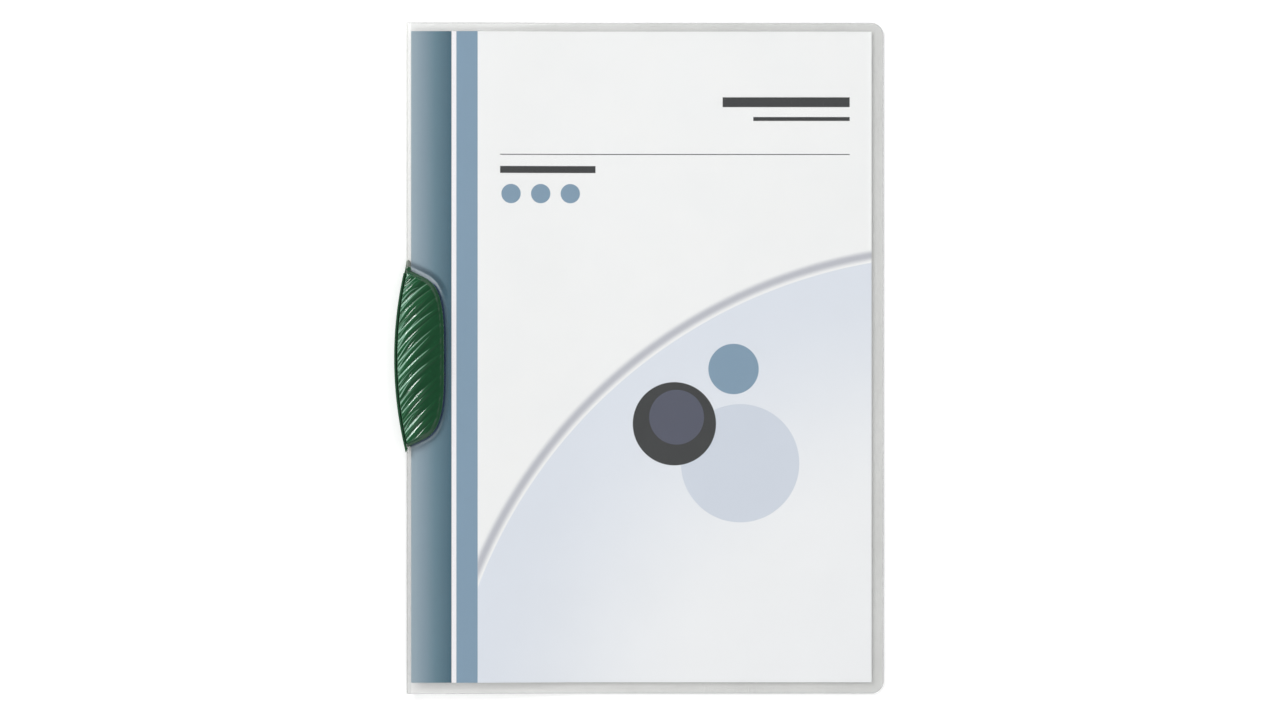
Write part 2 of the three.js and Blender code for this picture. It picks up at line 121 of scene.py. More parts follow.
# Lever as the picture shows it
FOLD_ROOM = 0.3  # how far the crown is lowered to leave room for the folds
FOLD_BOW = 2.4  # how far a fold that bows fully leaves its straight line
FLANK_RATIO = 2.6  # how much wider a fold's lower flank is than its steep upper one
EDGE_ROUNDING = 0.35
CELLS = 6  # hollows in the lever's underside, with ribs between them
CELL_INSET = 3.4
CELL_DEPTH = 0.9
RIB_THICKNESS = 1.1
TOP_GRID = (150, 420)  # points across and along the lever
UNDERSIDE_GRID = (60, 200)

# Print of the insert, from the sheet's lower left corner
DARK_STRIPE = (-1, 18.4)
STEEL_STRIPE = (20.6, 30.3)
SWEEP_CENTRE = (250, -40)
SWEEP_RADIUS = 235

# Studio and camera
WALL_LIGHT = 1.19
WALL_TOP = 0.5  # upward part of a direction, up to which the walls reach
CEILING_LIGHT = 0.22
CEILING_START = 0.96
FLOOR_GLOW = 0.25  # light that the floor adds where it is seen, to come out white
FLOOR_SIZE_M = 6
FLOOR_DROP_M = 0.0002
PHOTO_WIDTH_MM = 583.1  # how much of the folder's plane the photograph is wide
CAMERA_LENS = 85
CAMERA_SENSOR = 36
CAMERA_AIM = (106.6, -0.8)  # from the outside of the fold and from the folder's middle


def srgb(red, green, blue):
    """A colour given as it looks on screen, from 0 to 255, as the linear one that nodes use."""
    values = []
    for value in (red, green, blue):
        share = value / 255
        values.append(share / 12.92 if share <= 0.04045 else ((share + 0.055) / 1.055) ** 2.4)
    return (*values, 1.0)


def smooth(low, high, value):
    """A smooth rise from 0 at low to 1 at high."""
    t = np.clip((np.asarray(value, float) - low) / (high - low), 0, 1)
    return t * t * (3 - 2 * t)


# Forms


def lift(x):
    """Height of the back cover above the table."""
    return BACK_LIFT * (1 - smooth(SLOPE_START, SLOPE_START + SLOPE_LENGTH, x))


def wall_x(y, inset=0.0):
    """The clip's outer arc, or one that lies an inset within it."""
    return WALL_RADIUS - CLIP_BULGE - np.sqrt((WALL_RADIUS - inset) ** 2 - y * y)


def lever_edge_x(y):
    """The lever's squared D outline on the folder's side."""
    to_end = np.maximum(LEVER_HALF - np.abs(y), 1e-6)
    share = 1 - to_end / LEVER_HALF
    side = LEVER_REACH * np.sqrt(np.maximum(1 - share**LEVER_SQUARENESS, 1e-12))
    slant = SPINE_CLEARANCE + to_end / LEVER_END_SLOPE
    return (side**-LEVER_CORNER + slant**-LEVER_CORNER) ** (-1 / LEVER_CORNER)


def crown(x, y):
    """Height of the lever's smooth top above its underside."""
    share = (x + CLIP_BULGE) / (LEVER_REACH + CLIP_BULGE)
    ends = END_FALL * (y / HALF_CLIP) ** 2
    rise = smooth(0, CREST_PLACE, share)
    fall = smooth(CREST_PLACE, 1.15, share)
    wall_side = WALL_SIDE_HEIGHT + (CREST_HEIGHT - WALL_SIDE_HEIGHT) * rise
    return wall_side - (CREST_HEIGHT - EDGE_HEIGHT) * fall - ends * (1 - 0.6 * fall)


def chance(number, salt):
    """A value from 0 to 1 that looks random and is the same each run."""
    return math.modf(abs(math.sin(number * 12.9898 + salt * 78.233) * 43758.5453))[0]


def folds(count, first, pitch, reach, rise, height, width, salt):
    """A family of folds in the lever's skin, each leaving the wall side and climbing the page.
    reach, rise, height and width are (least, most). Each fold is where it starts, these four
    and the share that it bows."""
    made = []
    limits = (reach, rise, height, width)
    for i in range(count):
        between = [chance(i, salt + k) for k in range(6)]
        pick = [low + (high - low) * part for (low, high), part in zip(limits, between)]
        start = first + pitch * (i + 0.7 * (between[4] - 0.5))
        pick[1] *= 1 - 0.3 * float(smooth(2, 34, start))
        made.append((start, *pick, 0.25 + 0.6 * between[5]))
    return made


def relief(x, y, family):
    """Height of a family of folds, and how strongly each place takes the painted highlight on the
    folds' shoulders. The upper left flank of a fold is steep and the other one is long."""
    total = np.zeros_like(x)
    shoulder_highlight = np.zeros_like(x)
    for number, (start, reach, rise, height, width, bow) in enumerate(family):
        origin = float(wall_x(np.clip(start, -HALF_CLIP, HALF_CLIP))) + WALL_INSET
        length = reach * (LEVER_REACH + CLIP_BULGE)
        t = (x - origin) / length
        inside = (t > -0.05) & (t < 1)
        t = np.clip(t, 0, 1)
        middle = start + rise * length * t + FOLD_BOW * bow * np.sin(math.pi * t)
        away = (y - middle) / math.hypot(1, rise)
        spread = width * (1.1 - 0.55 * t)
        flank = np.where(away > 0, away / spread, away / (FLANK_RATIO * spread))
        along = (0.75 + 0.25 * smooth(0, 0.2, t)) * (1 - t) ** 0.55
        total = np.maximum(total, np.where(inside, height * along * np.exp(-(flank**2)), 0))
        near = np.exp(-(((away / spread - 0.35) / 0.75) ** 2)) * smooth(0, 0.04, t)
        strength = (0.45 + 0.55 * chance(number, start)) * (1 - t) ** 0.4
        shoulder_highlight = np.maximum(shoulder_highlight, np.where(inside, near * strength, 0))
    return total, shoulder_highlight


def crumple(x, y):
    """Height of all the folds over the lever's crown, and the painted highlights on their
    shoulders.
    """
    share = (x + CLIP_BULGE) / (LEVER_REACH + CLIP_BULGE)
    # Long, middle and short folds, and broad low ones on the far side
    families = (
        folds(24, -64, 4.4, (0.75, 1.0), (0.85, 1.15), (0.62, 0.85), (0.6, 0.78), 1),
        folds(42, -60, 2.45, (0.35, 0.62), (0.95, 1.35), (0.42, 0.62), (0.4, 0.54), 11),
        folds(56, -58, 1.8, (0.14, 0.34), (0.9, 1.4), (0.22, 0.4), (0.22, 0.32), 23),
    )
    far_folds = folds(24, -70, 4.7, (1.0, 1.15), (0.85, 1.0), (0.25, 0.4), (0.8, 1.1), 37)
    height = relief(x, y, far_folds)[0] * smooth(0.35, 0.7, share)
    # Strength of the painted highlights on the folds' shoulders
    pale = np.zeros_like(x)
    for family in families:
        lines, shoulder_highlight = relief(x, y, family)
        height = np.maximum(height, lines)
        pale = np.maximum(pale, shoulder_highlight)
    calm = 1 - 0.5 * smooth(0.45, 0.85, share) * smooth(14, -16, y)
    # The painted highlights fade out towards the lever's edge
    reach = 0.74 + 0.0065 * y
    return height * calm, pale * (1 - smooth(reach - 0.14, reach + 0.14, share))


def distance_to(x, y, line):
    """Distance from each point to a polyline."""
    best = np.full(x.shape, 1e9)
    for (ax, ay), (bx, by) in zip(line[:-1], line[1:]):
        dx, dy = bx - ax, by - ay
        t = np.clip(((x - ax) * dx + (y - ay) * dy) / (dx * dx + dy * dy), 0, 1)
        best = np.minimum(best, np.hypot(x - ax - t * dx, y - ay - t * dy))
    return best


# Meshes


def make_mesh(name, points, faces, sharp_angle):
    """A mesh object from points in millimetres, measured from the spine, and faces. Edges sharper
    than the angle, in degrees, are shaded as edges and the rest as one surface."""
    mesh = bpy.data.meshes.new(name)
    corners = (points + np.array((SPINE_X, 0, 0))) * MM
    mesh.from_pydata(corners.tolist(), [], [list(map(int, face)) for face in faces])
    mesh.update()
    rest = mesh.attributes.new("rest", "FLOAT_VECTOR", "POINT")
    rest.data.foreach_set("vector", points.astype(np.float32).ravel())
    mesh.polygons.foreach_set("use_smooth", [True] * len(mesh.polygons))
    mesh.set_sharp_from_angle(angle=math.radians(sharp_angle))
    piece = bpy.data.objects.new(name, mesh)
    bpy.context.scene.collection.objects.link(piece)
    return piece


def grid_faces(rows, columns, first=0, flip=False):
    """Quads of a grid of points that is stored row by row."""
    row, column = np.meshgrid(np.arange(rows - 1), np.arange(columns - 1), indexing="ij")
    a = (first + row * columns + column).ravel()
    quads = np.stack([a, a + 1, a + columns + 1, a + columns], axis=1)
    return quads[:, ::-1] if flip else quads


def loop_faces(outer, inner, closed=False):
    """Quads between two equally long rows of point numbers."""
    outer, inner = list(outer), list(inner)
    if closed:
        outer.append(outer[0])
        inner.append(inner[0])
    return [(outer[i], outer[i + 1], inner[i + 1], inner[i]) for i in range(len(outer) - 1)]


def flipped(faces):
    return [face[::-1] for face in faces]


def grid_rim(rows, columns):
    """Point numbers round a grid, once."""
    count = rows * columns
    return [
        *range(columns),
        *range(2 * columns - 1, count, columns),
        *range(count - 2, count - columns - 1, -1),
        *range(count - 2 * columns, 0, -columns),
    ]


def film_half_height(x):
    """Half the covers' height at an x: less at the rounded fore corners."""
    past = np.clip(x - (COVER_WIDTH - CORNER_RADIUS), 0, CORNER_RADIUS)
    return COVER_HALF - CORNER_RADIUS + np.sqrt(CORNER_RADIUS**2 - past**2)


def cover_places(first, step):
    """The x places of a cover's columns, closer together at the fore corners."""
    straight = COVER_WIDTH - CORNER_RADIUS
    corner = [straight + CORNER_RADIUS * math.sin(math.radians(a)) for a in range(9, 91, 9)]
    return [*np.arange(first, straight - step / 2, step), straight, *corner]


def spread_rows(dense_half, dense_step, loose_step, half):
    """Rows from one end of the folder to the other, close together near its middle."""
    dense = np.arange(-dense_half, dense_half + dense_step / 2, dense_step)
    loose = np.arange(dense_half + loose_step, half, loose_step)
    return np.concatenate([[-half], -loose[::-1], dense, loose, [half]])


def from_lever(x, y):
    """Distance from the edge of the closed lever's plan, below 0 under the lever."""
    ys = np.linspace(-LEVER_HALF + 0.01, LEVER_HALF - 0.01, 240)
    away = distance_to(x, y, np.stack([lever_edge_x(ys), ys], axis=1))
    inside = (np.abs(y) < LEVER_HALF) & (x < lever_edge_x(y))
    return np.where(inside, -away, away)


def add_places(piece):
    """What the film's material needs to know of each point: whether it is in the back layer, how
    far it is from the closed lever and whether it is on top of the margin that the clip grips."""
    mesh = piece.data
    places = np.empty(3 * len(mesh.vertices), np.float32)
    mesh.attributes["rest"].data.foreach_get("vector", places)
    x, y, z = places.reshape(-1, 3).T
    known = {
        "back_layer": z < lift(x) + FILM_THICKNESS + 0.5 * LAYER_GAP,
        "from_lever": from_lever(x, y),
        "margin_top": (z > FRONT_TOP - 0.7 * FILM_THICKNESS) * smooth(1.7, 2.6, x),
    }
    for name, values in known.items():
        made = mesh.attributes.new(name, "FLOAT", "POINT")
        made.data.foreach_set("value", values.astype(np.float32))


def film_piece(name, outer, inner, rows, closed_ends):
    """A film from its two faces, each a list of (x, z) stations from one end to the other. An
    end stays open where the other film piece goes on."""
    points = []
    for face in (outer, inner):
        x, z = np.array(face, float).T
        scale = film_half_height(x) / COVER_HALF
        grid_y = scale[:, None] * rows[None, :]
        grid_x = np.repeat(x[:, None], len(rows), axis=1)
        grid_z = np.repeat(z[:, None], len(rows), axis=1)
        margin = grid_z > FRONT_TOP - FILM_THICKNESS - 1e-6
        margin &= (grid_x < SEAM_X + 0.01) & (grid_x > FOLD_RADIUS)
        seat = 1 - smooth(SEAT_BORDER, SEAT_BORDER + SEAT_SLOPE, from_lever(grid_x, grid_y))
        grid_z = grid_z - np.where(margin, SEAT_DEPTH * seat, 0)
        points.append(np.stack([grid_x, grid_y, grid_z], axis=-1).reshape(-1, 3))
    stations, columns = len(outer), len(rows)
    count = stations * columns
    faces = [*grid_faces(stations, columns), *grid_faces(stations, columns, count, flip=True)]
    for column in (0, columns - 1):
        edge = range(column, count, columns)
        strip = loop_faces(edge, [p + count for p in edge])
        faces += strip if column else flipped(strip)
    for station, closed in zip((0, stations - 1), closed_ends):
        if closed:
            edge = range(station * columns, (station + 1) * columns)
            strip = loop_faces(edge, [p + count for p in edge])
            faces += flipped(strip) if station else strip
    piece = make_mesh(name, np.concatenate(points), faces, sharp_angle=40)
    add_places(piece)
    return piece


def back_film():
    """Back cover, spine fold and front margin, up to the strip that bends."""
    outer, inner = [], []
    for x in cover_places(first=FOLD_RADIUS, step=3.0)[::-1]:
        outer.append((x, float(lift(x))))
        inner.append((x, float(lift(x)) + FILM_THICKNESS))
    middle = BACK_LIFT + FOLD_RADIUS
    for degrees in range(15, 180, 15):
        angle = math.radians(degrees)
        for face, radius in ((outer, FOLD_RADIUS), (inner, FOLD_RADIUS - FILM_THICKNESS)):
            face.append((FOLD_RADIUS - radius * math.sin(angle), middle - radius * math.cos(angle)))
    for x in [*np.arange(FOLD_RADIUS, SEAM_X - 0.2, 0.4), SEAM_X]:
        outer.append((x, FRONT_TOP))
        inner.append((x, FRONT_TOP - FILM_THICKNESS))
    rows = spread_rows(dense_half=50, dense_step=0.6, loose_step=6, half=COVER_HALF)
    piece = film_piece("film_back", outer, inner, rows, (True, False))
    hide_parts("back_cover")
    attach(piece, "folder")
    return piece


def front_film():
    """Front cover, with the strip that bends at the crease."""
    bend_end = CREASE_X + 2 * BEND_HALF
    places = [*np.arange(SEAM_X, bend_end, 0.15), *cover_places(first=bend_end + 1, step=2.5)]
    upper = [(x, float(lift(x)) + FRONT_OFFSET + FILM_THICKNESS) for x in places]
    lower = [(x, z - FILM_THICKNESS) for x, z in upper]
    rows = np.linspace(-COVER_HALF, COVER_HALF, 62)
    piece = film_piece("film_front", upper, lower, rows, (False, True))
    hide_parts("front_cover")
    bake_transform(piece)
    return piece


def printed_sheet():
    """The sheet, which follows the back cover down to the table."""
    width = sheet_high.x - sheet_low.x
    half = (sheet_high.y - sheet_low.y) / 2
    middle = (sheet_high.y + sheet_low.y) / 2
    left = sheet_low.x - SPINE_X
    xs = np.linspace(left, left + width, 106)
    ys = np.linspace(middle - half, middle + half, 40)
    grid_x, grid_y = np.meshgrid(xs, ys, indexing="ij")
    under = lift(grid_x) + SHEET_OFFSET
    points = [
        np.stack([grid_x, grid_y, height], axis=-1).reshape(-1, 3)
        for height in (under + SHEET_THICKNESS, under)
    ]
    count = len(points[0])
    faces = [*grid_faces(len(xs), len(ys), flip=True), *grid_faces(len(xs), len(ys), count)]
    rim = grid_rim(len(xs), len(ys))
    faces += flipped(loop_faces(rim, [p + count for p in rim], closed=True))
    piece = make_mesh("printed_sheet", np.concatenate(points), faces, sharp_angle=40)
    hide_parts("insert_sheet")
    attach(piece, "folder")
    return piece


def lever_surface(across_count, along_count):
    """Places over the lever's plan, as two grids of x and y."""
    angle = np.linspace(-math.pi / 2, math.pi / 2, along_count)
    spaced = 0.35 * np.sin(angle) + 0.65 * angle / (math.pi / 2)
    ys = (LEVER_HALF - 0.06) * spaced
    share = np.linspace(0, 1, across_count)
    left, right = wall_x(ys, WALL_INSET), lever_edge_x(ys)
    right = np.maximum(right, left + 0.05)
    grid_x = left[None, :] + share[:, None] * (right - left)[None, :]
    grid_y = np.repeat(ys[None, :], across_count, axis=0)
    return grid_x, grid_y


def lever_underside(edge, wall):
    """Points of the lever's flat underside, with its hollow cells."""
    x, y = lever_surface(*UNDERSIDE_GRID)
    from_outline = np.minimum(distance_to(x, y, edge), distance_to(x, y, wall))
    pitch = 2 * (LEVER_HALF - CELL_INSET) / CELLS
    from_middle = np.abs(((y + LEVER_HALF - CELL_INSET) % pitch) - pitch / 2)
    cell_half = pitch / 2 - RIB_THICKNESS / 2
    hollow = smooth(CELL_INSET - 0.2, CELL_INSET + 0.2, from_outline)
    hollow = hollow * (1 - smooth(cell_half - 0.2, cell_half, from_middle))
    return np.stack([x, y, LEVER_SEAT + CELL_DEPTH * hollow], axis=-1).reshape(-1, 3)


def lever():
    """The wrinkled lever: crown, folds, a smooth flange along its edge and a ribbed underside."""
    x, y = lever_surface(*TOP_GRID)
    edge = np.stack([x[-1, ::4], y[-1, ::4]], axis=1)
    wall = np.stack([x[0, ::4], y[0, ::4]], axis=1)
    from_edge = distance_to(x, y, edge)
    from_wall = distance_to(x, y, wall)
    fade = smooth(0.7 * FLANGE_WIDTH, FLANGE_WIDTH + 0.8, from_edge) * smooth(0, 0.35, from_wall)
    creases, pale = crumple(x, y)
    body = crown(x, y) - FOLD_ROOM + creases * fade
    step = smooth(-0.4, FLANGE_WIDTH + 0.9, from_edge)
    height = FLANGE_THICKNESS + (np.maximum(body, FLANGE_THICKNESS) - FLANGE_THICKNESS) * step
    for away in (from_edge, from_wall + 0.05):
        near = np.clip(1 - away / EDGE_ROUNDING, 0, 1)
        height = height - EDGE_ROUNDING * (1 - np.sqrt(1 - near**2))
    z = np.minimum(LEVER_SEAT + height, LEVER_TOP)
    top = np.stack([x, y, z], axis=-1).reshape(-1, 3)
    rim = grid_rim(*TOP_GRID)
    foot = top[rim].copy()
    foot[:, 2] = LEVER_SEAT
    under = lever_underside(edge, wall)
    points = np.concatenate([top, foot, under])
    foot_numbers = range(len(top), len(top) + len(foot))
    faces = [
        *grid_faces(*TOP_GRID, flip=True),
        *flipped(loop_faces(rim, foot_numbers, closed=True)),
        *grid_faces(*UNDERSIDE_GRID, foot_numbers.stop),
    ]

    piece = make_mesh("crumpled_lever", points, faces, sharp_angle=75)
    # Masks of the painted highlights on the folds' crests and shoulders
    for name, amount in (("crest_highlight", creases), ("shoulder_highlight", pale)):
        values = np.zeros(len(points), np.float32)
        values[: len(top)] = (amount * fade).ravel()
        piece.data.attributes.new(name, "FLOAT", "POINT").data.foreach_set("value", values)
    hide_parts("clip_lever")
    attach(piece, "clip")
    return piece


# Materials


class Paint:
    """Writes the nodes of one material."""

    SOFT = 0.12  # half the width of a drawn shape's soft edge, in millimetres

    def __init__(self, name):
        self.material = bpy.data.materials.new(name)
        self.material.use_nodes = True
        self.tree = self.material.node_tree
        self.shader = self.tree.nodes["Principled BSDF"]
        self.output = self.tree.nodes["Material Output"]

    def put(self, socket, value):
        """Feed a node's input with another node's output, or with a plain value."""
        if isinstance(value, bpy.types.NodeSocket):
            self.tree.links.new(value, socket)
        else:
            socket.default_value = value

    def node(self, kind, **settings):
        made = self.tree.nodes.new(kind)
        for key, value in settings.items():
            setattr(made, key, value)
        return made

    def math(self, operation, a, b=0.0, clamp=False):
        made = self.node("ShaderNodeMath", operation=operation, use_clamp=clamp)
        self.put(made.inputs[0], a)
        self.put(made.inputs[1], b)
        return made.outputs[0]

    def plus(self, a, b):
        return self.math("ADD", a, b)

    def minus(self, a, b):
        return self.math("SUBTRACT", a, b)

    def times(self, a, b):
        return self.math("MULTIPLY", a, b)

    def larger(self, a, b):
        return self.math("MAXIMUM", a, b)

    def rest_of(self, share):
        """What a share leaves of the whole."""
        return self.minus(1.0, share)

    def ramp(self, value, low, high):
        """0 below low, 1 above high, and a smooth rise between."""
        made = self.node("ShaderNodeMapRange", interpolation_type="SMOOTHSTEP")
        self.put(made.inputs["Value"], value)
        made.inputs["From Min"].default_value = low
        made.inputs["From Max"].default_value = high
        return made.outputs["Result"]

    def gradient(self, value, *stops):
        """A number or colour that changes evenly from stop to stop."""
        shade = stops[0][1]
        for (low, _), (high, next_shade) in zip(stops, stops[1:]):
            made = self.node("ShaderNodeMapRange")
            self.put(made.inputs["Value"], value)
            made.inputs["From Min"].default_value = low
            made.inputs["From Max"].default_value = high
            shade = self.mix(made.outputs["Result"], shade, next_shade)
        return shade

    def mix(self, share, a, b):
        """Colour a, or b where the share is 1."""
        made = self.node("ShaderNodeMix", data_type="RGBA")
        self.put(made.inputs[0], share)
        self.put(made.inputs[6], a)
        self.put(made.inputs[7], b)
        return made.outputs[2]

    def places(self):
        """Where a point of the piece is at rest, in millimetres: as a vector, its x and its y."""
        vector = self.node("ShaderNodeAttribute", attribute_name="rest").outputs["Vector"]
        split = self.node("ShaderNodeSeparateXYZ")
        self.put(split.inputs[0], vector)
        return vector, split.outputs[0], split.outputs[1]

    def attribute(self, name):
        return self.node("ShaderNodeAttribute", attribute_name=name).outputs["Fac"]

    def noise(self, vector, scale, detail):
        made = self.node("ShaderNodeTexNoise")
        self.put(made.inputs["Vector"], vector)
        made.inputs["Scale"].default_value = scale
        made.inputs["Detail"].default_value = detail
        return made.outputs["Fac"]

    def bump(self, height, strength, distance):
        made = self.node("ShaderNodeBump")
        made.inputs["Strength"].default_value = strength
        made.inputs["Distance"].default_value = distance
        self.put(made.inputs["Height"], height)
        self.put(self.shader.inputs["Normal"], made.outputs["Normal"])

    def set(self, **values):
        for name, value in values.items():
            self.put(self.shader.inputs[name.replace("_", " ")], value)

    def between(self, value, rise, fall):
        """1 between two smooth steps, each given as where it starts and ends."""
        return self.math("SUBTRACT", self.ramp(value, *rise), self.ramp(value, *fall), clamp=True)

    def band(self, value, low, high, soft=SOFT):
        """1 between low and high, with soft edges."""
        return self.between(value, (low - soft, low + soft), (high - soft, high + soft))

    def rectangle(self, x, y, left, right, bottom, top):
        return self.times(self.band(x, left, right), self.band(y, bottom, top))

    def from_point(self, x, y, centre_x, centre_y):
        dx, dy = self.minus(x, centre_x), self.minus(y, centre_y)
        return self.math("SQRT", self.plus(self.times(dx, dx), self.times(dy, dy)))

    def disc(self, x, y, centre_x, centre_y, radius):
        away = self.from_point(x, y, centre_x, centre_y)
        return self.rest_of(self.ramp(away, radius - self.SOFT, radius + self.SOFT))


def film_material():
    """Clear film: frosted in the border round the sheet, darker towards the fore edge as a painted
    shade, paler where it is folded, with painted light and shade round the lever's seat and painted
    edge light on the cut edges.
    """
    paint = Paint("clear_film")
    vector, x, y = paint.places()

    # Parts of the film: the border round the sheet, the spine fold with its outer half and its
    # lower end, and the cut edges, which get a greyer haze as painted edge light
    left, right = sheet_low.x - SPINE_X, sheet_high.x - SPINE_X
    border = paint.rest_of(paint.rectangle(x, y, left, right, sheet_low.y, sheet_high.y))
    fold = paint.rest_of(paint.ramp(x, 1.9, left + 0.2))
    fold_back = paint.rest_of(paint.ramp(x, 0.5, 1.2))
    lower_fold = paint.times(paint.rest_of(paint.ramp(y, -60, 150)), fold)
    past_side = paint.larger(paint.minus(x, COVER_WIDTH - CORNER_RADIUS), 0.0)
    past_end = paint.minus(paint.math("ABSOLUTE", y), COVER_HALF - CORNER_RADIUS)
    from_corner = paint.from_point(past_side, paint.larger(past_end, 0.0), 0, 0)
    cut_edge = paint.ramp(from_corner, CORNER_RADIUS - 0.6, CORNER_RADIUS - 0.1)

    colour = paint.mix(border, srgb(190, 194, 196), srgb(203, 204, 201))
    colour = paint.mix(fold, colour, srgb(246, 247, 242))
    colour = paint.mix(fold_back, colour, srgb(206, 207, 196))
    colour = paint.mix(lower_fold, colour, srgb(172, 173, 171))
    colour = paint.mix(cut_edge, colour, srgb(190, 193, 192))

    # The border's haze grows towards the fore edge: the film's own frosting, and a painted shade
    # that darkens the border there
    stops = ((1.1, 0.0), (left + 0.1, BACK_FROST_AND_SHADE[0]), (COVER_WIDTH, BACK_FROST_AND_SHADE[1]))
    frost_and_shade = paint.gradient(x, *[(place, (amount,) * 3 + (1.0,)) for place, amount in stops])
    frost_and_shade = paint.times(frost_and_shade, paint.larger(paint.attribute("back_layer"), FRONT_FROST))
    # Extra haze on the outer half of the fold, and on the cut edges as painted edge light
    frost_and_shade = paint.plus(frost_and_shade, paint.times(paint.larger(cut_edge, fold_back), 0.12))
    haze = paint.plus(CLEAR_HAZE, paint.times(border, frost_and_shade))
    cloud = paint.minus(paint.noise(vector, 0.035, 2.0), 0.5)
    haze = paint.times(haze, paint.plus(1.0, paint.times(cloud, 0.3)))
    haze = paint.plus(haze, paint.times(lower_fold, 0.07))

    # Painted highlight, painted shade and painted shadow line round the lever's seat
    colour, haze = seat_light_and_shade(paint, y, colour, haze)
    paint.set(Base_Color=colour, Alpha=haze, Roughness=0.22, IOR=1.49)
    paint.bump(paint.noise(vector, 0.8, 2.0), 0.04, 0.0002)
    return paint.material


def seat_light_and_shade(paint, y, colour, haze):
    """The film's colour and haze with light and shade painted round the lever's seat: a painted
    highlight along its edge, a soft painted shade outside that, and a fine dark painted shadow line
    along the middle."""
    away = paint.attribute("from_lever")
    margin_top = paint.attribute("margin_top")
    upper = paint.ramp(y, 26, 36)
    lower = paint.rest_of(paint.ramp(y, -36, -24))
    # Strength along the seat of the painted highlight (white), the painted shade (shade) and the
    # painted shadow line (line)
    white = paint.plus(upper, paint.times(lower, 0.45))
    shade = paint.plus(upper, 0.12)
    line = paint.times(paint.rest_of(paint.times(lower, 0.6)), paint.rest_of(upper))
    # Painted highlight, painted shade and painted shadow line: distances from the lever at which
    # each rises and falls, how it changes along the seat, its opacity and its tint
    painted_marks = (
        ((0.0, 0.3), (1.5, 2.0), white, 0.42, srgb(205, 214, 220)),
        ((1.7, 2.3), (2.7, 4.8), shade, 0.28, srgb(52, 58, 66)),
        ((-0.1, 0.1), (0.4, 1.0), line, 0.6, srgb(38, 50, 98)),
    )
    for rise, fall, along, opacity, tint in painted_marks:
        mark = paint.times(paint.times(paint.between(away, rise, fall), along), margin_top)
        colour = paint.mix(paint.ramp(mark, 0.0, 0.2), colour, tint)
        haze = paint.math("ADD", haze, paint.times(mark, opacity), clamp=True)
    return colour, haze


def ink(red, green, blue):
    """The colour to print, as a linear one, for a colour that is seen through the clear film."""
    seen = srgb(red, green, blue)[:3]
    return (*[max(0.0, (value - FILM_ADDS) / FILM_PASSES) for value in seen], 1.0)


def print_material():
    """Matt paper with a generic print: stripes by the spine, a pale sweep, discs and bars."""
    paint = Paint("printed_sheet")
    vector, x, y = paint.places()
    x = paint.minus(x, sheet_low.x - SPINE_X)
    y = paint.minus(y, sheet_low.y)
    steel = ink(134, 159, 179)
    charcoal = ink(62, 62, 66)

    # Paper, with a painted highlight that makes it a little lighter along the fore edge
    cloud = paint.noise(vector, 0.05, 3.0)
    colour = paint.mix(cloud, ink(243, 244, 244), ink(246, 246, 245))
    colour = paint.mix(paint.band(x, 208.4, 211, 0.3), colour, ink(248, 249, 248))

    # Pale sweep with a soft shade outside its curved edge
    from_centre = paint.from_point(x, y, *SWEEP_CENTRE)
    sweep = paint.rest_of(paint.ramp(from_centre, SWEEP_RADIUS - 0.2, SWEEP_RADIUS + 0.1))
    depth = paint.ramp(from_centre, 120, SWEEP_RADIUS)
    field = paint.mix(depth, ink(243, 244, 245), ink(224, 229, 237))
    colour = paint.mix(sweep, colour, field)
    shade = paint.band(from_centre, SWEEP_RADIUS + 1.5, SWEEP_RADIUS + 5, 1.4)
    colour = paint.mix(paint.times(shade, 0.8), colour, ink(176, 178, 188))

    # Discs: centre, radius, ink and strength
    discs = (
        (150, 100, 27.0, ink(208, 215, 226), 0.9),
        (120, 118, 19.0, ink(44, 44, 56), 1.0),
        (147, 143, 11.5, steel, 1.0),
        (121, 121, 12.5, ink(92, 94, 108), 1.0),
        *[(45.5 + 13.5 * i, 223, 4.4, steel, 1.0) for i in range(3)],
    )
    for centre_x, centre_y, radius, tone, strength in discs:
        inside = paint.disc(x, y, centre_x, centre_y, radius)
        colour = paint.mix(paint.times(inside, strength), colour, tone)

    # Bars and rule: left, right, bottom and top
    bars = (
        (142, 200, 262.5, 267),
        (156, 200, 256.2, 258),
        (40.5, 200, 240.7, 241.1),
        (40.5, 84, 232.4, 235.6),
    )
    for bar in bars:
        colour = paint.mix(paint.rectangle(x, y, *bar), colour, charcoal)

    # Stripes by the spine on a white margin, the outer one darkening towards the gap
    end = STEEL_STRIPE[1]
    margin = paint.rest_of(paint.ramp(x, end - 0.1, end + 0.1))
    colour = paint.mix(margin, colour, ink(245, 243, 245))
    stops = (
        (0, ink(157, 174, 184)),
        (4.5, ink(139, 158, 170)),
        (11, ink(105, 132, 145)),
        (DARK_STRIPE[1], ink(74, 103, 118)),
    )
    colour = paint.mix(paint.band(x, *DARK_STRIPE, 0.15), colour, paint.gradient(x, *stops))
    colour = paint.mix(paint.band(x, *STEEL_STRIPE, 0.15), colour, steel)
    paint.set(Base_Color=colour, Roughness=0.62)
    paint.bump(paint.noise(vector, 4.0, 4.0), 0.1, 0.0001)
    return paint.material


